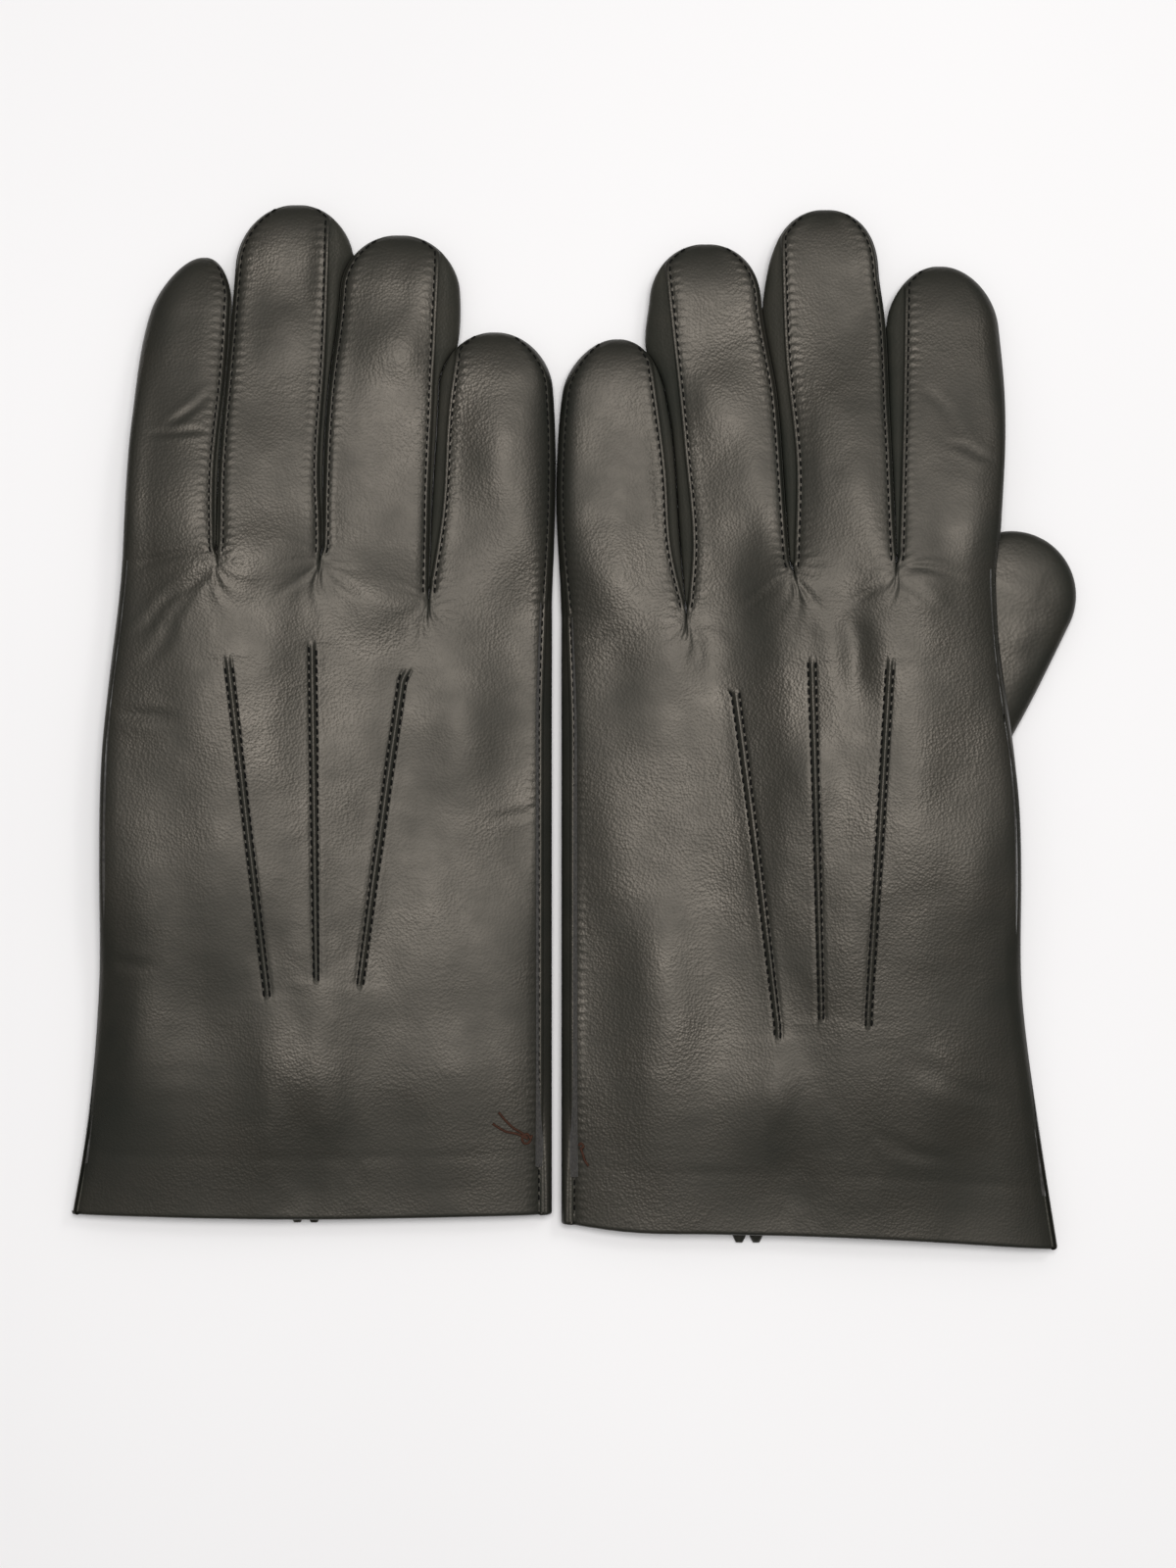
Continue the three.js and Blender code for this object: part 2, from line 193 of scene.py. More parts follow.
# The palm rides up over the thumb, and the back follows it more softly. Both rise between each pair.
PALM_RISE = {"height": 9.5, "u": (45, 70), "v": (50, 84), "fall": (186, 222)}
BACK_RISE = {"height": 7.0, "u": (22, 92), "v": (-10, 100), "fall": (165, 238)}

# Sections are ovals with this squareness, cut level at this share of their half height.
SQUARENESS = 3.2
SEAMED_SQUARENESS = 6.5  # the back of a finger on a side with a fourchette
UNDERSIDE = 0.85
PALM_EDGE = 0.86  # where the palm begins, as a share of the half width

# Columns of a finger's back, as distances in from its seam. The one at SEAM_LINE carries the stitches of a
# seam, and the one at POINT_LINE those on either side of a raised point. LIP is how high the leather stands
# at each beside a seam, and RIDGE beside the middle of a point.
SEAM_WIDTH = 1.15
POINT_WIDTH = 0.9
EDGE_STEPS = [0, 0.1, 0.3, 0.6, POINT_WIDTH, SEAM_WIDTH, 1.5, 2.2, 3.2, 4.4]
LIP = [-0.12, 0.06, 0.15, 0.18, 0.1, -0.1, 0.0, 0.08, 0.05, 0]
RIDGE = [0.26, 0.25, 0.2, 0.04, -0.16, -0.03, 0.03, 0.01, 0, 0]
POINT_LINE = EDGE_STEPS.index(POINT_WIDTH)
SEAM_LINE = EDGE_STEPS.index(SEAM_WIDTH)

# How many columns a finger's back, its side and its palm have. The hand's back has four fingers' worth.
MIDDLE_COLUMNS = 9
BACK = 2 * len(EDGE_STEPS) + MIDDLE_COLUMNS
SIDE = 8
PALM = 10
HAND_BACK = 4 * (BACK - 1) + 1

# A fourchette slopes from its seam out to the side of the finger, and then drops to the palm.
BROW = np.array([0, 0.35, 0.7, 0.92, 1, 1, 1, 1])
DROP = np.array([0, 0, 0, 0, 0.15, 0.45, 0.8, 1])
BROW_END = 3

RING_STEP = 0.6  # about how far apart the rings of a finger's body are
LOWEST_CROTCH = 150
TIP_ANGLES = np.radians(np.concatenate([np.linspace(3, 60, 20), np.linspace(62, 89, 16)]))
FOURCHETTE_STOP = 18  # how many rings short of the tip a fourchette ends
STITCHES_STOP = 12  # and how many rings short of it the stitches end
FAR_FROM_SEAM = 30.0  # the distance given to points with no seam near


def smooth(x, low, high):
    t = np.clip((np.asarray(x, float) - low) / (high - low), 0, 1)
    return t * t * (3 - 2 * t)


def mix(a, b, t):
    return a + (b - a) * t


def curve(points, x):
    """A smooth curve through points (x, y), level past both ends."""
    xs, ys = np.array(points, float).T
    slopes = np.gradient(ys, xs)
    x = np.asarray(x, float)
    at = np.clip(np.searchsorted(xs, x) - 1, 0, len(xs) - 2)
    step = xs[at + 1] - xs[at]
    t = np.clip((x - xs[at]) / step, 0, 1)
    a, b = (1 + 2 * t) * (1 - t) ** 2, t * t * (3 - 2 * t)
    c, d = t * (1 - t) ** 2, t * t * (t - 1)
    return a * ys[at] + b * ys[at + 1] + step * (c * slopes[at] + d * slopes[at + 1])


def noise(u, v, size, seed):
    """Smooth random hills about -1 to 1 high and size across. size is one number or one each for u and v."""
    grid = np.random.default_rng(seed).uniform(-1, 1, (64, 64))
    su, sv = size if isinstance(size, tuple) else (size, size)
    x, y = np.asarray(u, float) / su + 17.3, np.asarray(v, float) / sv + 9.7
    i, j = np.floor(x).astype(int), np.floor(y).astype(int)
    fx, fy = x - i, y - j
    fx, fy = fx * fx * (3 - 2 * fx), fy * fy * (3 - 2 * fy)

    def corner(a, b):
        return grid[(i + a) % 64, (j + b) % 64]

    near = mix(corner(0, 0), corner(1, 0), fx)
    far = mix(corner(0, 1), corner(1, 1), fx)
    return mix(near, far, fy)


def lift(rise, u, v):
    """How far the leather rides up over the thumb."""
    over = smooth(u, *rise["u"]) * smooth(v, *rise["v"])
    return rise["height"] * over * (1 - smooth(v, *rise["fall"]))


def height(u, v, thick, up):
    """How high a section is, from 0 at its lowest to 1 at its highest."""
    return mix(lift(PALM_RISE, u, v), lift(BACK_RISE, u, v) + thick, up)


def oval(angle):
    """A point on the flattened oval of a section: across from -1 to 1, and up from 0 to 1."""
    c, s = np.cos(angle), np.sin(angle)
    across = np.sign(c) * np.abs(c) ** (2 / SQUARENESS)
    up = np.sign(s) * np.abs(s) ** (2 / SQUARENESS)
    return across, (np.maximum(up, -UNDERSIDE) + UNDERSIDE) / (1 + UNDERSIDE)


def oval_top(t, low=SQUARENESS, high=SQUARENESS):
    """How high the oval's upper side is at t across, with a squareness for each half."""
    squareness = np.where(t < 0, low, high)
    t = np.clip(np.abs(t), 0, 1)
    return ((1 - t**squareness) ** (1 / squareness) + UNDERSIDE) / (1 + UNDERSIDE)


def finger_top(order, t):
    """How high the back of a finger is: nearly flat up to the seam of a fourchette."""
    low = SQUARENESS if order == 0 else SEAMED_SQUARENESS
    high = SQUARENESS if order == 3 else SEAMED_SQUARENESS
    return oval_top(t, low, high)


def oval_bottom(t):
    t = np.clip(np.abs(t), 0, 1)
    return (UNDERSIDE - np.minimum((1 - t**SQUARENESS) ** (1 / SQUARENESS), UNDERSIDE)) / (1 + UNDERSIDE)


# ---- outlines ------------------------------------------------------------------------------------


class Outline:
    """Where the edges of one glove's hand and fingers are."""

    def __init__(self, side):
        self.g = GLOVES[side]

    def body(self, f, v):
        """The two edges of a finger's body before its tip rounds off, kept clear of the finger before it."""
        spec, order = self.g["fingers"][f], FINGERS.index(f)
        low, high = curve(spec["low"], v), curve(spec["high"], v)
        if order > 0:
            before = self.g["fingers"][FINGERS[order - 1]]
            side_low, side_high = curve(before["low"], v), curve(before["high"], v)
            t = np.clip((v - before["tip"] + before["round"]) / before["round"], 0, 1)
            reach = (side_low + side_high) / 2 + (side_high - side_low) / 2 * np.sqrt(1 - t * t)
            low = np.where((t < 1) & (low < reach + CLOSE), reach + FINGER_GAP, low)
        return low, high

    def cuff(self, u):
        return curve(self.g["cuff"], u)

    def crotch_line(self, u):
        (u1, v1), (u2, v2), (u3, v3) = self.g["crotches"]
        return mix(v1, mix(v2, v3, smooth(u, u2, u3)), smooth(u, u1, u2))

    def anchors(self, v):
        """The five lines that part the hand's columns: its two sides, and the three from crotch to cuff."""
        lines = [HAND_SIDE + side_seam_inset(v)]
        order = self.g["points"][::-1]
        for (cu, cv), (u1, v1, u2, v2) in zip(self.g["crotches"], order):
            at_cuff = u2 + (u2 - u1) * 0.15
            lines.append(np.interp(v, [-6, v2, v1, cv], [at_cuff, u2, u1, cu]))
        lines.append(curve(self.g["edge"], v) - 0.4)
        return lines


def columns(width):
    """How far along 0 to 1 each of a back's columns is, on a row of that width in mm."""
    scale = np.clip(width / 19, 0.02, 1)[..., None]
    steps = np.array(EDGE_STEPS) * scale
    width = width[..., None]
    inner = np.linspace(0, 1, MIDDLE_COLUMNS + 2)[1:-1]
    last = steps[..., -1:]
    middle = last + (width - 2 * last) * inner
    return np.concatenate([steps, middle, (width - steps)[..., ::-1]], -1) / width


def seam_height(distance, along):
    """The lapped edge of a seam, its groove of stitches, and the dimple that each stitch pulls."""
    height = np.interp(distance, EDGE_STEPS, LIP)
    groove = np.exp(-(((distance - SEAM_WIDTH) / 0.5) ** 2))
    return height - 0.07 * groove * np.cos(2 * math.pi * along / STITCH_PITCH)


def crease_height(creases, u, v):
    total = np.zeros(np.broadcast(u, v).shape)
    for u1, v1, u2, v2, width, depth in creases:
        du, dv = u2 - u1, v2 - v1
        length = math.hypot(du, dv)
        along = ((u - u1) * du + (v - v1) * dv) / length
        bend = 1.2 * np.sin(along / length * math.pi) * noise(u1 + along, v1, 9, 5)
        off = ((u - u1) * dv - (v - v1) * du) / length + bend
        ends = smooth(along, -2, 0.25 * length) * (1 - smooth(along, 0.6 * length, length + 2))
        valley = np.exp(-((off / width) ** 2))
        banks = np.exp(-(((np.abs(off) - 1.9 * width) / width) ** 2))
        total += depth * ends * (0.45 * banks - valley)
    return total


def relief(g, seed, u, v):
    """The soft hills and creases of worked leather lying loose, in mm."""
    hills = 0.8 * noise(u, v, (15, 42), seed) + 0.2 * noise(u, v, (8, 15), seed + 1)
    fine = 0.035 * noise(u, v, 4.2, seed + 2) + 0.012 * noise(u, v, 2.1, seed + 3)
    gathers = 0.0
    for cu, cv in g["crotches"]:
        away = np.hypot(u - cu, v - cv + 3)
        angle = np.arctan2(v - cv, u - cu)
        gathers = gathers + 0.1 * np.exp(-((away / 8) ** 2)) * np.sin(13 * angle + 0.6 * away)
    bulges = 0.0
    for bu, bv, across, along, rise in g["bulges"]:
        bulges = bulges + rise * np.exp(-(((u - bu) / across) ** 2) - ((v - bv) / along) ** 2)
    return hills + fine + gathers + bulges + crease_height(g["creases"], u, v)


# ---- rings ---------------------------------------------------------------------------------------


class Stack:
    """Rings of points, ring by ring, with how far each point is from the nearest seam."""

    def __init__(self, points, distance):
        self.points, self.distance = points, distance


def side_seam_inset(v):
    """How far in from the little finger's side its seam lies."""
    return mix(2.1, 0.6, smooth(v, 120, 175))


def hand_section(o, u, v):
    """How high the back and the palm of the hand are, with no fingers parted yet."""
    left, right = HAND_SIDE, curve(o.g["edge"], v)
    t = (u - (right + left) / 2) / ((right - left) / 2)
    thick = hand_thick(v) - CUFF_DROP * (1 - smooth(v, -6, CUFF_DROP_END))
    return height(u, v, thick, oval_top(t)), height(u, v, thick, oval_bottom(t))


def side_arc(low, high, v, sign, inset, thick):
    """The side of a section from its back's edge, round its outermost point, to its palm's edge."""
    middle, half = (low + high) / 2, np.maximum((high - low) / 2, 0.05)
    start = np.arccos(np.clip((1 - inset / half), 0, 1) ** (SQUARENESS / 2))
    end = -np.arccos(PALM_EDGE ** (SQUARENESS / 2))
    angle = start[..., None] + (end - start)[..., None] * np.linspace(0, 1, SIDE)
    across, up = oval(angle)
    u = middle[..., None] + sign * half[..., None] * across
    at = np.broadcast_to(v[..., None], u.shape)
    return np.stack([u, at, height(u, at, np.asarray(thick)[..., None], up)], -1)


def parting(crotch, v):
    """How far the section has gone from the hand's to a finger's, at v beside a crotch."""
    return smooth(v, crotch - 5, crotch + 15)


def hand_thick(v):
    return mix(HAND_THICK, FINGER_THICK + 0.4, np.clip(v / 160, 0, 1))


def join_columns(parts):
    """One grid from grids that share their neighbours' edge columns."""
    return np.concatenate([*(part[:, :-1] for part in parts[:-1]), parts[-1]], 1)


def raise_points(o, lines, u, v, z):
    """Raises the three points on the back of the hand, with a row of stitches sunk on either side."""
    for i, (_, v1, _, v2) in enumerate(o.g["points"][::-1]):
        here = smooth(v, v2 - 0.5, v2 + 1.5) * (1 - smooth(v, v1 - 1.5, v1 + 0.5))
        off = np.abs(u - lines[i + 1][:, None])
        z += here * np.interp(off, EDGE_STEPS, RIDGE)
        dimple = np.exp(-(((off - POINT_WIDTH) / 0.3) ** 2))
        z -= 0.05 * here * dimple * np.cos(2 * math.pi * v / STITCH_PITCH)
        z -= 0.1 * here * np.exp(-((off / 7) ** 2))


def fingers_above(lines, u, v):
    """How high the four fingers' backs would be, were they to run on down the hand."""
    z = np.zeros_like(u)
    for i in range(4):
        own = slice(i * (BACK - 1), (i + 1) * (BACK - 1) + 1)
        across = 2 * (u[:, own] - lines[i][:, None]) / (lines[i + 1] - lines[i])[:, None] - 1
        z[:, own] = np.maximum(z[:, own], height(u[:, own], v[:, own], FINGER_THICK, finger_top(i, across)))
    return z


def hand_stack(o, seed):
    """Rings from the cuff to the crotches."""
    g = o.g
    t = np.concatenate([np.linspace(0, 0.012, 5), np.linspace(0.017, 1, 205)])
    nominal = mix(min(v for _, v in g["cuff"]), 155, t)
    lines = o.anchors(nominal)
    back_u = join_columns([
        low[:, None] + (high - low)[:, None] * columns(high - low) for low, high in zip(lines, lines[1:])
    ])
    rows = t[:, None]
    back_v = mix(o.cuff(back_u), o.crotch_line(back_u), rows)
    base, _ = hand_section(o, back_u, back_v)
    part = parting(o.crotch_line(back_u), back_v)
    back_z = mix(base, fingers_above(lines, back_u, back_v), part)
    raise_points(o, lines, back_u, back_v, back_z)
    side_distance = back_u - back_u[:, :1]
    back_z += seam_height(side_distance, back_v)
    hem = np.exp(-(((back_v - o.cuff(back_u) - HEM) / 1.4) ** 2))
    back_z -= 0.07 * hem * (0.6 + 0.4 * noise(back_u, back_v, 9, seed + 7))
    back_z += relief(g, seed, back_u, back_v) * smooth(nearest_edge(o, back_u, back_v), 0.5, 8)
    back = np.stack([back_u, back_v, back_z], -1)

    def side(sign, inset):
        u_edge = lines[0] if sign < 0 else lines[-1]
        v = mix(o.cuff(u_edge), o.crotch_line(u_edge), t)
        right = curve(g["edge"], v)
        whole = side_arc(np.full_like(v, HAND_SIDE), right, v, sign, inset, hand_thick(v))
        f = FINGERS[0] if sign < 0 else FINGERS[-1]
        low = o.body(f, v)[0] if sign > 0 else np.full_like(v, HAND_SIDE)
        high = right if sign > 0 else o.body(f, v)[1]
        own = side_arc(low, high, v, sign, inset, FINGER_THICK + 0 * v)
        part = parting(o.crotch_line(u_edge), v)[:, None, None]
        return mix(whole, own, part)

    index_side, little_side = side(1, INDEX_SIDE_INSET), side(-1, side_seam_inset(nominal))
    little_side[:, 0, 2] -= SIDE_SEAM_STEP
    stops = [little_side[:, -1, 0], *lines[1:4], index_side[:, -1, 0]]
    even = np.linspace(0, 1, PALM)
    palm_u = join_columns([mix(a[:, None], b[:, None], even) for a, b in zip(stops, stops[1:])])[:, ::-1]
    palm_v = mix(o.cuff(palm_u), o.crotch_line(palm_u), rows)
    _, palm_z = hand_section(o, palm_u, palm_v)
    palm_z = palm_z + PALM_LEATHER
    palm_z[:, 0], palm_z[:, -1] = index_side[:, -1, 2], little_side[:, -1, 2]
    palm = np.stack([palm_u, palm_v, palm_z], -1)
    points = np.concatenate([back, index_side, palm, little_side[:, ::-1]], 1)
    distance = np.full(points.shape[:2], FAR_FROM_SEAM)
    distance[:, :HAND_BACK] = side_distance
    return Stack(points, distance)


def nearest_edge(o, u, v):
    return np.minimum(u - HAND_SIDE, curve(o.g["edge"], v) - u)


def fourchette(arc, top, foot, edge_u, sign, fade):
    """Bends the side of a finger in under its seam, out to its edge, and down to the palm."""
    arc[..., 0] = np.where(BROW < 1, mix(top[:, :1] + sign * FINGER_GAP, edge_u, BROW), arc[..., 0])
    sunk = top[:, 2:] - 0.4 * fade - 0.5 * np.abs(edge_u - top[:, :1]) * BROW**1.6
    wall_z = mix(sunk[:, BROW_END : BROW_END + 1], foot[:, 2:], DROP)
    arc[..., 2] = np.where(BROW < 1, sunk, wall_z)
    return arc


def finger_stack(o, f, hand, seed):
    """Rings from the crotches to the tip of one finger. The first is the hand's last."""
    spec, order = o.g["fingers"][f], FINGERS.index(f)
    last = hand.points[-1]
    back0 = last[order * (BACK - 1) : (order + 1) * (BACK - 1) + 1]
    palm_at = HAND_BACK + SIDE + (3 - order) * (PALM - 1)
    palm0 = last[palm_at : palm_at + PALM]

    # w goes from 0 at the crotches to 1 where the tip starts, and the tip's rings go beyond that
    body_end = spec["tip"] - spec["round"]
    body = np.linspace(0, 1, int((body_end - LOWEST_CROTCH) / RING_STEP))
    count = len(body) + len(TIP_ANGLES)
    w = np.concatenate([body, np.ones(len(TIP_ANGLES))])
    beyond = np.concatenate([np.zeros(len(body)), spec["round"] * np.sin(TIP_ANGLES)])
    narrow = np.concatenate([np.ones(len(body)), np.cos(TIP_ANGLES)])

    def rows_at(v0):
        return mix(v0, body_end, w[:, None]) + beyond[:, None]

    back_v, palm_v = rows_at(back0[:, 1]), rows_at(palm0[:, 1])
    v_low, v_high = back_v[:, 0], back_v[:, -1]
    anchor_low, anchor_high = back0[0, 0], back0[-1, 0]
    inner_low, inner_high = order > 0, order < 3
    grow_low = smooth(v_low, back0[0, 1], back0[0, 1] + 4)
    grow_high = smooth(v_high, back0[-1, 1], back0[-1, 1] + 4)
    low, high = o.body(f, v_low)[0], o.body(f, v_high)[1]
    middle, half = (low + high) / 2, (high - low) / 2 * np.maximum(narrow, 0.02)
    low, high = middle - half, middle + half
    if inner_low:
        low = mix(anchor_low, low, grow_low)
    if inner_high:
        high = mix(anchor_high, high, grow_high)
    middle, half = (low + high) / 2, (high - low) / 2
    thick = FINGER_THICK * np.where(w < 1, 1, narrow**0.55)
    rise = (FINGER_THICK - thick) * 0.36

    at_tip = np.minimum(half / 8, 1)
    least = 0.3 * at_tip
    inset_low = side_seam_inset(v_low) * at_tip
    inset_high = INDEX_SIDE_INSET * at_tip
    if inner_low:
        inset_low = np.maximum(curve(spec["little_row"], v_low) - SEAM_WIDTH - low, least) * grow_low
    if inner_high:
        inset_high = np.maximum(high - curve(spec["index_row"], v_high) - SEAM_WIDTH, least) * grow_high
    inset_low, inset_high = np.minimum(inset_low, 0.9 * half), np.minimum(inset_high, 0.9 * half)
    back_low, back_high = low + inset_low, high - inset_high
    width = back_high - back_low
    share = columns(width)
    back_u = back_low[:, None] + width[:, None] * share
    t = (back_u - middle[:, None]) / half[:, None]
    own = height(back_u, back_v, thick[:, None], finger_top(order, t)) + rise[:, None]
    whole, _ = hand_section(o, back_u, back_v)
    start = o.crotch_line(back0[:, 0])[None, :]
    back_z = mix(whole, own, parting(start, back_v))
    from_low, from_high = share * width[:, None], (1 - share) * width[:, None]
    seam_low = seam_height(from_low, back_v) * (grow_low[:, None] if inner_low else 1)
    seam_high = seam_height(from_high, back_v) * grow_high[:, None] if inner_high else 0
    fade = np.where(w < 1, 1, narrow**0.5)[:, None]
    back_z += (seam_low + seam_high) * fade
    inside = smooth(np.minimum(from_low, from_high), 0.5, 6)
    settled = smooth(back_v - start, 0, 14)
    flatten = mix(smooth(nearest_edge(o, back_u, back_v), 0.5, 8), inside, settled)
    back_z += relief(o.g, seed, back_u, back_v) * flatten * fade
    back_z[0] = back0[:, 2]
    blend_in = smooth(np.arange(count), 0, 6)[:, None]
    back_z = mix(back0[None, :, 2] + (back_z - back_z[:1]), back_z, blend_in)
    back = np.stack([back_u, back_v, back_z], -1)
    back[0] = back0

    palm_low, palm_high = middle - PALM_EDGE * half, middle + PALM_EDGE * half
    if inner_low:
        palm_low = mix(anchor_low, palm_low, grow_low)
    if inner_high:
        palm_high = mix(anchor_high, palm_high, grow_high)
    palm_u = mix(palm_high[:, None], palm_low[:, None], np.linspace(0, 1, PALM))
    t = (palm_u - middle[:, None]) / half[:, None]
    own = height(palm_u, palm_v, thick[:, None], oval_bottom(t)) + rise[:, None] + PALM_LEATHER
    palm_z = mix(palm0[None, :, 2] + 0 * own, own, smooth(palm_v, palm0[:, 1], palm0[:, 1] + 12))
    palm = np.stack([palm_u, palm_v, palm_z], -1)
    palm[0] = palm0

    def side(sign):
        inner = inner_high if sign > 0 else inner_low
        v = v_high if sign > 0 else v_low
        inset = inset_high if sign > 0 else inset_low
        grow = (grow_high if sign > 0 else grow_low)[:, None, None]
        arc = side_arc(low, high, v, sign, inset, thick)
        arc[..., 2] += rise[:, None]
        top = back[:, -1 if sign > 0 else 0]
        foot = palm[:, 0 if sign > 0 else -1]
        if not inner:
            first = last[HAND_BACK : HAND_BACK + SIDE] if sign > 0 else last[::-1][:SIDE]
            part = smooth(np.arange(count), 0, 20)[:, None, None]
            arc = mix(first[None] + (arc - arc[:1]), arc, part)
            arc[:, -1] = foot
            return arc
        wall = mix(top[:, None], foot[:, None], np.linspace(0, 1, SIDE)[:, None])
        edge_u = (high if sign > 0 else low)[:, None]
        made = mix(wall, fourchette(arc, top, foot, edge_u, sign, fade), grow)
        made[:, -1] = foot
        return made

    high_side, low_side = side(1), side(-1)
    points = np.concatenate([back, high_side, palm, low_side[:, ::-1]], 1)
    distance = np.full(points.shape[:2], FAR_FROM_SEAM)
    distance[:, :BACK] = np.minimum(from_low, from_high if inner_high else FAR_FROM_SEAM)
    return Stack(points, distance)


# ---- meshes --------------------------------------------------------------------------------------


def to_row(side, points):
    """From a glove's own plane in mm to the row's frame in metres."""
    swing = next(j for j in frame["joints"] if j["name"] == f"{side}_thumb_swing")
    turn = GLOVES[side]["turn"]
    base = np.array(THUMB["base"])
    x = swing["pos_m"][0] + turn * (points[..., 0] - base[0]) * MM
    y = swing["pos_m"][1] + (points[..., 1] - base[1]) * MM
    return np.stack([x, y, points[..., 2] * MM], -1)


def mesh_object(name, vertices, faces, uv=None, normals=None):
    mesh = bpy.data.meshes.new(name)
    mesh.from_pydata(vertices.tolist(), [], faces)
    mesh.validate()
    if uv is not None:
        layer = mesh.uv_layers.new(name="seam")
        corner = np.empty(len(mesh.loops), int)
        mesh.loops.foreach_get("vertex_index", corner)
        layer.data.foreach_set("uv", uv[corner].astype(np.float32).ravel())
    mesh.shade_smooth()
    if normals is not None:
        mesh.normals_split_custom_set_from_vertices(normals.tolist())
    obj = bpy.data.objects.new(name, mesh)
    bpy.context.scene.collection.objects.link(obj)
    return obj


def ring_quads(at):
    """The quads between neighbouring rings, from the numbers of their points."""
    turned = np.roll(at, -1, 1)
    return np.stack([at[:-1], turned[:-1], turned[1:], at[1:]], -1)


class Skin:
    """Collects quads from stacks, and gives every piece the normals of the whole."""

    def __init__(self, side):
        self.side = side
        self.vertices, self.uv, self.count = [], [], 0
        self.faces = {}

    def add(self, stack, masks, caps=()):
        rows, around = stack.points.shape[:2]
        at = self.count + np.arange(rows * around).reshape(rows, around)
        self.vertices.append(to_row(self.side, stack.points).reshape(-1, 3))
        self.uv.append(np.stack([stack.distance, stack.points[..., 1]], -1).reshape(-1, 2))
        self.count += rows * around
        quads = ring_quads(at)
        if GLOVES[self.side]["turn"] < 0:
            quads = quads[..., ::-1]
        for name, mask in masks.items():
            self.faces.setdefault(name, []).extend(quads[mask].tolist())
        for name in caps:
            ring = at[-1].tolist()
            self.faces[name].append(ring if GLOVES[self.side]["turn"] > 0 else ring[::-1])

    def pieces(self):
        vertices, uv = np.concatenate(self.vertices), np.concatenate(self.uv)
        _, same = np.unique(np.round(vertices * 1e6).astype(np.int64), axis=0, return_inverse=True)
        same = same.ravel()
        normals = np.zeros((same.max() + 1, 3))
        for faces in self.faces.values():
            quads = np.array([q for q in faces if len(q) == 4])
            p = vertices[quads]
            n = np.cross(p[:, 2] - p[:, 0], p[:, 3] - p[:, 1])
            for k in range(4):
                np.add.at(normals, same[quads[:, k]], n)
        lengths = np.linalg.norm(normals, axis=1, keepdims=True)
        normals = (normals / np.maximum(lengths, 1e-12))[same]
        made = {}
        for name, faces in self.faces.items():
            used = np.unique(np.concatenate([np.array(f) for f in faces]))
            index = np.full(len(vertices), -1)
            index[used] = np.arange(len(used))
            own = [index[f].tolist() for f in faces]
            made[name] = mesh_object(name, vertices[used], own, uv[used], normals[used])
        return made


def inward(points, distance):
    """Each ring drawn in by distance, along its own normals."""
    across = np.roll(points, -3, 1) - np.roll(points, 3, 1)
    normal = np.stack([across[..., 2], 0 * across[..., 0], -across[..., 0]], -1)
    length = np.linalg.norm(normal, axis=-1, keepdims=True)
    return points + distance * normal / np.maximum(length, 1e-9)


ROLL = 0.8  # radius of the cuff's folded edge


def cuff_roll(hand):
    """The rounded edge of the cuff, from the inside of the hem round to the hand's first ring."""
    first = hand.points[:1]
    rows = []
    for angle in np.radians([180, 150, 120, 90, 60, 30]):
        ring = inward(first, ROLL * (1 - math.cos(angle)))[0].copy()
        ring[:, 1] = first[0, :, 1] - ROLL * math.sin(angle)
        rows.append(ring)
    rows.append(first[0])
    points = np.array(rows)
    distance = np.broadcast_to(hand.distance[:1], points.shape[:2])
    return Stack(points, distance)


def build_skin(side):
    """The leather of one glove, cut into its pieces, and the stacks that it was cut from."""
    o = Outline(side)
    seed = 11 if side == "right" else 47
    hand = hand_stack(o, seed)
    skin = Skin(side)
    trank = f"{side}_glove_trank"
    for stack in (cuff_roll(hand), hand):
        rows, around = stack.points.shape[:2]
        skin.add(stack, {trank: np.ones((rows - 1, around), bool)})
    fingers = {}
    for f in FINGERS:
        stack = fingers[f] = finger_stack(o, f, hand, seed)
        rows, around = stack.points.shape[:2]
        band = np.ones((rows - 1, around), bool)
        masks = {}
        strip_end = rows - FOURCHETTE_STOP
        for where, start, seamed in (
            ("index_side", BACK, f != "index"),
            ("little_side", BACK + SIDE + PALM, f != "little"),
        ):
            if seamed:
                mask = np.zeros_like(band)
                mask[:strip_end, start : start + SIDE - 1] = True
                band &= ~mask
                masks[f"{side}_{f}_strip_{where}"] = mask
        masks[f"{side}_{f}_band"] = band
        skin.add(stack, masks, caps=[f"{side}_{f}_band"])
    return o, hand, fingers, skin.pieces()


# ---- materials -----------------------------------------------------------------------------------


def new_material(name):
    made = bpy.data.materials.new(name)
    made.use_nodes = True
    tree = made.node_tree
    tree.nodes.clear()
    out = tree.nodes.new("ShaderNodeOutputMaterial")
    shader = tree.nodes.new("ShaderNodeBsdfPrincipled")
    tree.links.new(shader.outputs[0], out.inputs["Surface"])
    return made, tree, shader


def math_node(tree, operation, a, b=None, c=None):
    node = tree.nodes.new("ShaderNodeMath")
    node.operation = operation
    for socket, value in zip(node.inputs, (a, b, c)):
        if value is None:
            continue
        if isinstance(value, (int, float)):
            socket.default_value = value
        else:
            tree.links.new(value, socket)
    return node.outputs[0]


def noise_node(tree, coordinates, scale, detail=3.0, roughness=0.55):
    node = tree.nodes.new("ShaderNodeTexNoise")
    node.inputs["Scale"].default_value = scale
    node.inputs["Detail"].default_value = detail
    node.inputs["Roughness"].default_value = roughness
    tree.links.new(coordinates, node.inputs["Vector"])
    return node.outputs["Fac"]


def map_range(tree, value, low, high, to_low, to_high):
    node = tree.nodes.new("ShaderNodeMapRange")
    node.clamp = True
    for socket, number in zip(list(node.inputs)[1:5], (low, high, to_low, to_high)):
        socket.default_value = number
    tree.links.new(value, node.inputs[0])
    return node.outputs[0]


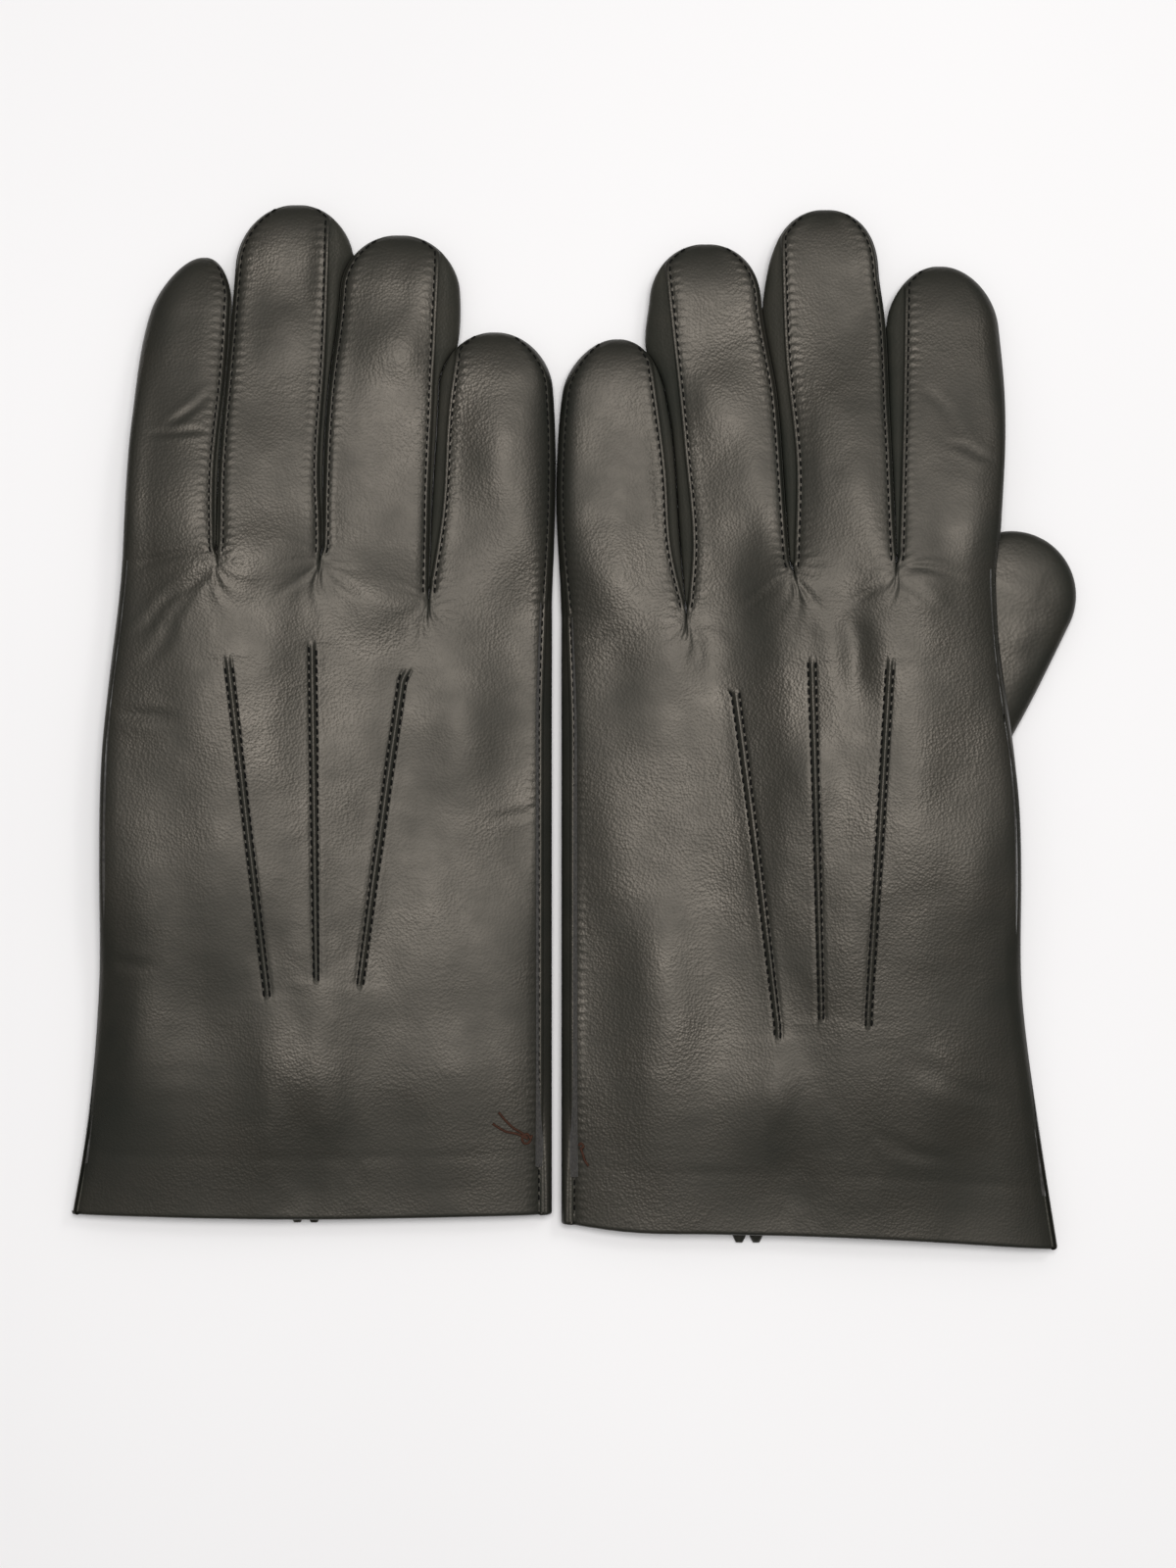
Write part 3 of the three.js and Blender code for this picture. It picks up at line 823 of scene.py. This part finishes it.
def colour_ramp(tree, value, stops):
    ramp = tree.nodes.new("ShaderNodeValToRGB")
    elements = ramp.color_ramp.elements
    while len(elements) < len(stops):
        elements.new(0.5)
    for element, (position, colour) in zip(elements, stops):
        element.position = position
        element.color = (*colour, 1)
    tree.links.new(value, ramp.inputs[0])
    return ramp.outputs[0]


def add_bump(tree, shader, height, strength, distance):
    """Bump from a height, where distance is how deep it is in metres."""
    bump = tree.nodes.new("ShaderNodeBump")
    bump.inputs["Strength"].default_value = strength
    bump.inputs["Distance"].default_value = distance
    tree.links.new(height, bump.inputs["Height"])
    tree.links.new(bump.outputs[0], shader.inputs["Normal"])


def leather(name, grain=1.0, puckers=True, tone=1.0):
    """Soft nappa: a fine pebbled grain, pulled smooth in places, with gathers along the seams."""
    made, tree, shader = new_material(name)
    place = tree.nodes.new("ShaderNodeTexCoord").outputs["Object"]
    warp = noise_node(tree, place, 260, 2)
    cells = tree.nodes.new("ShaderNodeTexVoronoi")
    cells.feature = "SMOOTH_F1"
    cells.inputs["Scale"].default_value = 1500 / grain
    cells.inputs["Smoothness"].default_value = 0.35
    tree.links.new(place, cells.inputs["Vector"])
    small = noise_node(tree, place, 3000 / grain, 2)
    patches = noise_node(tree, place, 34, 3, 0.6)
    streaks = noise_node(tree, place, 95, 4, 0.62)
    strength = map_range(tree, patches, 0.38, 0.66, 0.35, 1.0)
    pebble = math_node(tree, "MULTIPLY", cells.outputs["Distance"], 0.8)
    pebble = math_node(tree, "MULTIPLY_ADD", small, 0.35, pebble)
    height = math_node(tree, "MULTIPLY", pebble, strength)
    height = math_node(tree, "MULTIPLY_ADD", warp, 0.08, height)
    if puckers:
        seam = tree.nodes.new("ShaderNodeUVMap")
        seam.uv_map = "seam"
        split = tree.nodes.new("ShaderNodeSeparateXYZ")
        tree.links.new(seam.outputs[0], split.inputs[0])
        distance, along = split.outputs[0], split.outputs[1]
        uneven = math_node(tree, "MULTIPLY_ADD", streaks, 2.0, along)
        wave = math_node(tree, "SINE", math_node(tree, "MULTIPLY", uneven, 2 * math.pi / STITCH_PITCH))
        near = map_range(tree, distance, 1.3, 1.8, 0, 1)
        near = math_node(tree, "MULTIPLY", near, map_range(tree, distance, 2.6, 4.6, 1, 0))
        amount = math_node(tree, "MULTIPLY", near, map_range(tree, patches, 0.4, 0.6, 0.25, 1.0))
        height = math_node(tree, "MULTIPLY_ADD", math_node(tree, "MULTIPLY", wave, amount), 0.55, height)
    add_bump(tree, shader, height, 0.7, 0.0001)
    # The edge leather's tone of 1.5 lightens both colours: painted light on the shaded fourchette walls.
    dark = tuple(tone * c for c in (0.0102, 0.0118, 0.0096))
    light = tuple(tone * c for c in (0.0215, 0.0205, 0.0165))
    mottled = math_node(tree, "MULTIPLY_ADD", streaks, 0.35, math_node(tree, "MULTIPLY", patches, 0.65))
    colour = colour_ramp(tree, mottled, [(0.36, dark), (0.66, light)])
    tree.links.new(colour, shader.inputs["Base Color"])
    rough = map_range(tree, mottled, 0.35, 0.65, 0.46, 0.34)
    tree.links.new(rough, shader.inputs["Roughness"])
    shader.inputs["Specular IOR Level"].default_value = 0.35
    shader.inputs["Specular Tint"].default_value = (1.0, 0.91, 0.80, 1)
    return made


def thread_material(name, colour, roughness=0.75):
    """Twisted thread: fine plies across its length."""
    made, tree, shader = new_material(name)
    place = tree.nodes.new("ShaderNodeTexCoord").outputs["Object"]
    plies = noise_node(tree, place, 3200, 3)
    dark = tuple(0.6 * c for c in colour)
    light = tuple(1.3 * c for c in colour)
    shade = colour_ramp(tree, plies, [(0.3, dark), (0.7, light)])
    tree.links.new(shade, shader.inputs["Base Color"])
    add_bump(tree, shader, plies, 0.6, 0.0001)
    shader.inputs["Roughness"].default_value = roughness
    shader.inputs["Specular IOR Level"].default_value = 0.12
    return made


def knit_material(name):
    """A fine ribbed knit, brushed on the inside."""
    made, tree, shader = new_material(name)
    place = tree.nodes.new("ShaderNodeTexCoord").outputs["Object"]
    ribs = tree.nodes.new("ShaderNodeTexWave")
    ribs.inputs["Scale"].default_value = 240
    ribs.inputs["Distortion"].default_value = 1.2
    ribs.inputs["Detail"].default_value = 2
    tree.links.new(place, ribs.inputs["Vector"])
    fuzz = noise_node(tree, place, 1400, 4)
    height = math_node(tree, "MULTIPLY_ADD", fuzz, 0.6, ribs.outputs["Fac"])
    shade = colour_ramp(tree, fuzz, [(0.3, (0.020, 0.019, 0.018)), (0.7, (0.055, 0.052, 0.048))])
    tree.links.new(shade, shader.inputs["Base Color"])
    add_bump(tree, shader, height, 0.7, 0.0003)
    shader.inputs["Roughness"].default_value = 0.95
    shader.inputs["Sheen Weight"].default_value = 0.3
    return made


# A leather's tone is the share of the skin's own colour that it has. The edge leather's tone of 1.5 is
# painted light: it lightens the fourchettes' steep side walls, which the overhead light leaves dark, and the
# hem facing and the vent's binding with them.
LOOK = {
    "glove_leather": leather("glove_leather_look"),
    # Painted light: the edge leather is the glove's leather made 1.5 times lighter, standing in for light on
    # the shaded fourchette walls.
    "edge_leather": leather("edge_look_with_painted_light", tone=1.5, puckers=False),
    "thumb_leather": leather("thumb_leather_look", grain=1.35, puckers=False, tone=1.1),
    "knitted_lining": knit_material("knit_look"),
    "stitching": thread_material("stitch_look", (0.0035, 0.0035, 0.0033)),
    "pairing_thread": thread_material("pairing_thread_look", (0.050, 0.022, 0.014)),
}


# ---- placing pieces: hand and thumb pieces on their bodies ---------------------------------------

BEND_START, BEND_END = 162.0, 194.0  # v of the ends of the stretch about the fingers' hinges


def bend_with(obj, side):
    """Works out the ends of the stretch about the finger's hinge, and bakes the piece's transform."""
    start = to_row(side, np.array([50, BEND_START, 0.0]))
    end = to_row(side, np.array([50, BEND_END, 0.0]))
    start[0] = end[0] = 0
    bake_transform(obj)


def finish_piece(obj, look, side, part, replaced=None):
    """Gives a piece its look, hides the plain solid it replaces, puts a hand or thumb piece on its body."""
    obj.data.materials.clear()
    obj.data.materials.append(LOOK[look])
    if part in FINGERS:
        bend_with(obj, side)
    else:
        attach(obj, f"{side}_{part}")
    if replaced:
        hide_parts(f"{side}_{replaced}")


# ---- stitches ------------------------------------------------------------------------------------


def row_normals(points):
    """Which way the surface faces at each point of a stack, from its neighbours."""
    along = np.gradient(points, axis=0)
    across = np.gradient(points, axis=1)
    normal = np.cross(across, along)
    return normal / np.maximum(np.linalg.norm(normal, axis=-1, keepdims=True), 1e-9)


STITCH_RINGS = 7
STITCH_SIDES = 6


def stitch_row(path, normals, pitch=STITCH_PITCH, length=1.6, radius=0.21, slant=0.0):
    """Short lengths of thread that lie along a path, dipping into the leather at both ends."""
    steps = np.linalg.norm(np.diff(path, axis=0), axis=1)
    run = np.concatenate([[0], np.cumsum(steps)])
    centres = np.arange(pitch / 2, run[-1] - pitch / 2, pitch)
    s = np.linspace(-1, 1, STITCH_RINGS)
    thick = radius * np.sqrt(np.clip(1 - (0.96 * s) ** 4, 0, 1))
    angles = np.linspace(0, 2 * math.pi, STITCH_SIDES, endpoint=False)
    vertices, faces = [], []
    for centre in centres:
        at = centre + s * length / 2
        line = np.stack([np.interp(at, run, path[:, k]) for k in range(3)], -1)
        up = np.stack([np.interp(at, run, normals[:, k]) for k in range(3)], -1)
        up /= np.linalg.norm(up, axis=1, keepdims=True)
        forward = np.gradient(line, axis=0)
        forward /= np.linalg.norm(forward, axis=1, keepdims=True)
        sideways = np.cross(forward, up)
        line = line + up * (0.14 - 0.3 * s[:, None] ** 4) + sideways * slant * s[:, None]
        at = len(vertices) * STITCH_SIDES + np.arange(STITCH_RINGS * STITCH_SIDES).reshape(STITCH_RINGS, -1)
        for k in range(STITCH_RINGS):
            ring = thick[k] * (np.cos(angles)[:, None] * sideways[k] + np.sin(angles)[:, None] * up[k])
            vertices.append(line[k] + ring)
        faces += ring_quads(at).reshape(-1, 4).tolist()
        faces += [at[0].tolist()[::-1], at[-1].tolist()]
    return np.concatenate(vertices), faces


def stitches(name, side, rows, part, replaced=None):
    """One piece of thread work from several rows of (path, normals, options)."""
    vertices, faces, count = [], [], 0
    for path, normals, options in rows:
        v, f = stitch_row(path, normals, **options)
        faces += [[i + count for i in face] for face in f]
        vertices.append(v)
        count += len(v)
    if GLOVES[side]["turn"] < 0:
        faces = [face[::-1] for face in faces]
    obj = mesh_object(name, to_row(side, np.concatenate(vertices)), faces)
    finish_piece(obj, "stitching", side, part, replaced)


POINT_STITCH = {"pitch": 2.16, "length": 1.7, "radius": 0.27, "slant": 0.05}


def hand_stitches(side, o, hand):
    back = hand.points[:, :HAND_BACK]
    normals = row_normals(back)
    for i, (_, v1, _, v2) in enumerate(o.g["points"][::-1]):
        column = (i + 1) * (BACK - 1)
        rows = []
        for offset in (-POINT_LINE, POINT_LINE):
            v = back[:, column + offset, 1]
            keep = (v > v2) & (v < v1)
            rows.append((back[keep, column + offset], normals[keep, column + offset], POINT_STITCH))
        stitches(f"{side}_point_{3 - i}_stitching", side, rows, "hand", f"point_{3 - i}")
    keep = back[:, SEAM_LINE, 1] > o.cuff(0.5) + 2
    row = (back[keep, SEAM_LINE], normals[keep, SEAM_LINE], {})
    stitches(f"{side}_side_seam_stitches", side, [row], "hand")


def finger_stitches(side, f, stack):
    back = stack.points[:, :BACK]
    normals = row_normals(back)
    rows = []
    last = len(back) - STITCHES_STOP
    for column, seamed in ((SEAM_LINE, True), (BACK - 1 - SEAM_LINE, f != "index")):
        if seamed:
            rows.append((back[3:last, column], normals[3:last, column], {}))
    stitches(f"{side}_{f}_seam_stitches", side, rows, f)


# ---- linings, hem, thumb and small parts ---------------------------------------------------------


# How far in from the leather's outer face each lining is.
HAND_LINING_INSET = 2.3
FINGER_LINING_INSET = 1.4
THUMB_LINING_INSET = 1.3


def tube_piece(name, side, points, close_end):
    """A plain mesh from a stack of rings."""
    rows, around = points.shape[:2]
    at = np.arange(rows * around).reshape(rows, around)
    faces = ring_quads(at).reshape(-1, 4).tolist()
    if close_end:
        faces.append(at[-1].tolist())
    if GLOVES[side]["turn"] < 0:
        faces = [face[::-1] for face in faces]
    return mesh_object(name, to_row(side, points).reshape(-1, 3), faces)


def linings(side, o, hand, fingers):
    """The hem's inner face and the knitted lining, a little inside the leather."""
    rings = inward(hand.points[:, ::2], 2 * ROLL)
    height = rings[..., 1] - o.cuff(rings[..., 0])
    hem_rows = int(np.argmax(height.mean(1) > HEM))
    hem = tube_piece(f"{side}_hem_facing", side, rings[: hem_rows + 1 : 2], False)
    finish_piece(hem, "edge_leather", side, "hand", "cuff_hem")
    inside = inward(hand.points[:, ::3], HAND_LINING_INSET)[hem_rows - 4 :: 4]
    lining = tube_piece(f"{side}_hand_knit", side, inside, False)
    finish_piece(lining, "knitted_lining", side, "hand", "hand_lining")
    for f in FINGERS:
        rings = inward(fingers[f].points[2:-10:5, ::2], FINGER_LINING_INSET)
        lining = tube_piece(f"{side}_{f}_knit", side, rings, True)
        finish_piece(lining, "knitted_lining", side, f, f"{f}_lining")


def thumb_points(side, inset):
    """Rings along the thumb, from its sewn base to its tip."""
    reach, half, thick = THUMB["reach"], THUMB["half"], THUMB["thick"]
    around = 64
    ends = np.radians(np.linspace(88, 4, 22))
    v = np.concatenate([-half * np.sin(ends), np.linspace(0, reach, 60), reach + half * np.sin(ends[::-1])])
    narrow = np.concatenate([np.cos(ends), np.ones(60), np.cos(ends[::-1])])
    ring = -2 * math.pi * np.arange(around) / around
    across, up = oval(ring)
    t = v / reach
    width = half * (1 - 0.05 * np.exp(-(((t - 0.35) / 0.22) ** 2))) * narrow
    width = np.maximum(width - inset, 0.3)
    height = np.maximum(thick * narrow**0.5 - 2 * inset, 0.4)
    bottom = (thick - height) * 0.4
    u = width[:, None] * across
    z = bottom[:, None] + height[:, None] * up
    vv = np.broadcast_to(v[:, None], u.shape)
    soft = 0.3 * noise(u + 40, vv, (9, 16), 71) + 0.12 * noise(u, vv, 4, 72)
    z = z + soft * smooth(up, 0.6, 1) * narrow[:, None] * (inset == 0)
    angle = math.radians(GLOVES[side]["thumb_angle"])
    base_u, base_v = THUMB["base"]
    placed_u = base_u + u * math.cos(angle) + vv * math.sin(angle)
    placed_v = base_v + vv * math.cos(angle) - u * math.sin(angle)
    return np.stack([placed_u, placed_v, z], -1)


def thumb(side):
    points = thumb_points(side, 0)
    skin = tube_piece(f"{side}_thumb_skin", side, points, True)
    finish_piece(skin, "thumb_leather", side, "thumb", "thumb")
    lining = tube_piece(f"{side}_thumb_knit", side, thumb_points(side, THUMB_LINING_INSET)[::3, ::2], True)
    finish_piece(lining, "knitted_lining", side, "thumb", "thumb_lining")


def tube_along(path, radius, around=8):
    """A round thread along a path of points, in mm."""
    path = np.array(path, float)
    forward = np.gradient(path, axis=0)
    forward /= np.linalg.norm(forward, axis=1, keepdims=True)
    sideways = np.cross(forward, [0, 0, 1.0])
    sideways /= np.maximum(np.linalg.norm(sideways, axis=1, keepdims=True), 1e-6)
    up = np.cross(sideways, forward)
    angles = np.linspace(0, 2 * math.pi, around, endpoint=False)
    ring = np.cos(angles)[None, :, None] * sideways[:, None] + np.sin(angles)[None, :, None] * up[:, None]
    return path[:, None] + radius * ring


def surface_height(hand, u, v):
    """How high the back of the hand is near (u, v)."""
    back = hand.points[:, :HAND_BACK].reshape(-1, 3)
    nearest = np.argmin((back[:, 0] - u) ** 2 + (back[:, 1] - v) ** 2)
    return back[nearest, 2]


THREAD_RADIUS = 0.3

# Where each pairing thread's tails and its knot run, as (u, v).
THREADS = {
    "right": [
        [(5.6, 17.8), (7.2, 19.2), (9.4, 20.6), (11.4, 22.6), (12.8, 24.3)],
        [(5.6, 17.6), (8.2, 18.9), (11.2, 19.6), (14.3, 21.5)],
        [(4.6, 18.6), (5.3, 16.8), (6.6, 16.6), (7.0, 18.0), (5.8, 18.9), (4.9, 17.6)],
    ],
    "left": [
        [(4.4, 18.2), (5.0, 16.6), (5.5, 15.0), (6.4, 13.6)],
        [(4.0, 18.6), (4.6, 19.2), (5.2, 18.4), (4.4, 17.8)],
    ],
}


def pairing_thread(side, hand):
    vertices, faces, count = [], [], 0
    for points in THREADS[side]:
        t = np.arange(len(points))
        fine = np.linspace(0, len(points) - 1, 6 * len(points))
        u, v = (curve(list(zip(t, [p[k] for p in points])), fine) for k in range(2))
        z = np.array([surface_height(hand, a, b) for a, b in zip(u, v)])
        z = np.convolve(np.pad(z, 2, "edge"), np.ones(5) / 5, "valid") + THREAD_RADIUS
        rings = tube_along(np.stack([u, v, z], -1), THREAD_RADIUS)
        rows, around = rings.shape[:2]
        at = count + np.arange(rows * around).reshape(rows, around)
        faces += ring_quads(at).reshape(-1, 4).tolist()
        faces += [at[0].tolist()[::-1], at[-1].tolist()]
        vertices.append(rings.reshape(-1, 3))
        count += rows * around
    obj = mesh_object(f"{side}_pairing_knot", to_row(side, np.concatenate(vertices)), faces)
    finish_piece(obj, "pairing_thread", side, "hand", "pairing_thread")


VENT_SHOWS = {"right": 2.3, "left": 3.4}  # how far the binding stands out past the cuff
VENT_LENGTH = 29.0
VENT_OFFSET = 2.1  # from the slit's middle to the middle of its binding
VENT_ROLL = 1.9  # radius of the binding, before it is pressed flat
VENT_FLATNESS = 0.62
VENT_MIDDLE_Z = 1.05


def vent(side, o):
    """The bound slit at the palm side of the wrist: one rolled strip up one edge and down the other."""
    middle = GLOVES[side]["vent"]
    edge = float(o.cuff(middle))
    top = edge + VENT_LENGTH
    down = [(middle - VENT_OFFSET, v) for v in np.linspace(edge - VENT_SHOWS[side], top, 24)]
    turn = [
        (middle - VENT_OFFSET * math.cos(angle), top + VENT_OFFSET * math.sin(angle))
        for angle in np.linspace(0.3, math.pi - 0.3, 8)
    ]
    path = np.array(down + turn + [(2 * middle - u, v) for u, v in down[::-1]])
    path = np.column_stack([path, np.full(len(path), VENT_MIDDLE_Z)])
    rings = tube_along(path, VENT_ROLL, 12)
    rings[..., 2] = mix(VENT_MIDDLE_Z, rings[..., 2], VENT_FLATNESS)
    ends = np.minimum(np.arange(len(path)), np.arange(len(path))[::-1])
    shrink = np.sqrt(np.clip((ends + 0.35) / 2, 0.2, 1))[:, None, None]
    rings = path[:, None] + (rings - path[:, None]) * shrink
    obj = tube_piece(f"{side}_vent_edge", side, rings, True)
    finish_piece(obj, "edge_leather", side, "hand", "vent_binding")


def build_glove(side):
    o, hand, fingers, pieces = build_skin(side)
    trank = pieces[f"{side}_glove_trank"]
    finish_piece(trank, "glove_leather", side, "hand", "trank")
    for f in FINGERS:
        band = pieces[f"{side}_{f}_band"]
        finish_piece(band, "glove_leather", side, f, f"{f}_finger")
        for where in ("index_side", "little_side"):
            strip = pieces.get(f"{side}_{f}_strip_{where}")
            if strip:
                # The fourchette strips take the lightened edge leather: painted light on their steep, shaded
                # walls.
                finish_piece(strip, "edge_leather", side, f, f"{f}_fourchette_{where}")
        finger_stitches(side, f, fingers[f])
    hand_stitches(side, o, hand)
    linings(side, o, hand, fingers)
    thumb(side)
    pairing_thread(side, hand)
    vent(side, o)


# ---- the table, the light and the camera ---------------------------------------------------------

# The room is brightest a little towards the fingertips from straight overhead, and dim at the horizon.
SKY_AXIS = (0.0, 0.26, 0.966)
SKY = [(0.0, (0.03,) * 3), (0.3, (0.08,) * 3), (0.7, (0.33,) * 3), (1.0, (0.9,) * 3)]
SKY_STRENGTH = 0.9

# Each lamp's name, place in metres, size, power and colour. All point at the middle of the pair.
LAMPS = [
    ("overhead", (0.05, 0.12, 1.4), 0.38, 12.8, (1.0, 0.98, 0.96)),
    ("window", (0.5, 0.5, 1.2), 0.3, 2, (1.0, 0.98, 0.96)),
]
VIEW_CENTRE = (0.0032, -0.0143)
VIEW_HEIGHT = 0.388  # how much the picture's height covers at VIEW_PLANE above the table
VIEW_PLANE = 0.006
CAMERA_HEIGHT = 1.0
SENSOR = 36
TABLE_Z = -0.0003


def stage():
    bpy.ops.mesh.primitive_plane_add(size=3, location=(0, 0, TABLE_Z))
    floor = bpy.context.active_object
    floor.name = "table"
    made, tree, shader = new_material("table_look")
    place = tree.nodes.new("ShaderNodeTexCoord").outputs["Object"]
    faint = noise_node(tree, place, 3, 2)
    shade = colour_ramp(tree, faint, [(0.3, (0.83, 0.828, 0.84)), (0.7, (0.87, 0.868, 0.88))])
    tree.links.new(shade, shader.inputs["Base Color"])
    shader.inputs["Roughness"].default_value = 0.6
    floor.data.materials.append(made)


def area_light(name, location, size, power, colour):
    data = bpy.data.lights.new(name, "AREA")
    data.size = size
    data.energy = power
    data.color = colour
    lamp = bpy.data.objects.new(name, data)
    lamp.location = location
    direction = -np.array(location)
    tilt = math.atan2(math.hypot(direction[0], direction[1]), -direction[2])
    lamp.rotation_euler = (tilt, 0, math.atan2(direction[1], direction[0]) - math.pi / 2)
    bpy.context.scene.collection.objects.link(lamp)


def light_and_camera():
    world = bpy.data.worlds.new("room")
    world.use_nodes = True
    tree = world.node_tree
    direction = tree.nodes.new("ShaderNodeTexCoord").outputs["Generated"]
    upward = tree.nodes.new("ShaderNodeVectorMath")
    upward.operation = "DOT_PRODUCT"
    upward.inputs[1].default_value = SKY_AXIS
    tree.links.new(direction, upward.inputs[0])
    sky = colour_ramp(tree, upward.outputs["Value"], SKY)
    tree.links.new(sky, tree.nodes["Background"].inputs[0])
    tree.nodes["Background"].inputs[1].default_value = SKY_STRENGTH
    bpy.context.scene.world = world
    for lamp in LAMPS:
        area_light(*lamp)
    data = bpy.data.cameras.new("camera")
    data.sensor_fit = "VERTICAL"
    data.sensor_height = SENSOR
    data.lens = SENSOR * (CAMERA_HEIGHT - VIEW_PLANE) / VIEW_HEIGHT
    data.clip_start = 0.01
    camera = bpy.data.objects.new("camera", data)
    camera.location = (*VIEW_CENTRE, CAMERA_HEIGHT)
    bpy.context.scene.collection.objects.link(camera)
    bpy.context.scene.camera = camera
    bpy.context.scene.view_settings.view_transform = "Standard"


for glove in GLOVES:
    build_glove(glove)
stage()
light_and_camera()
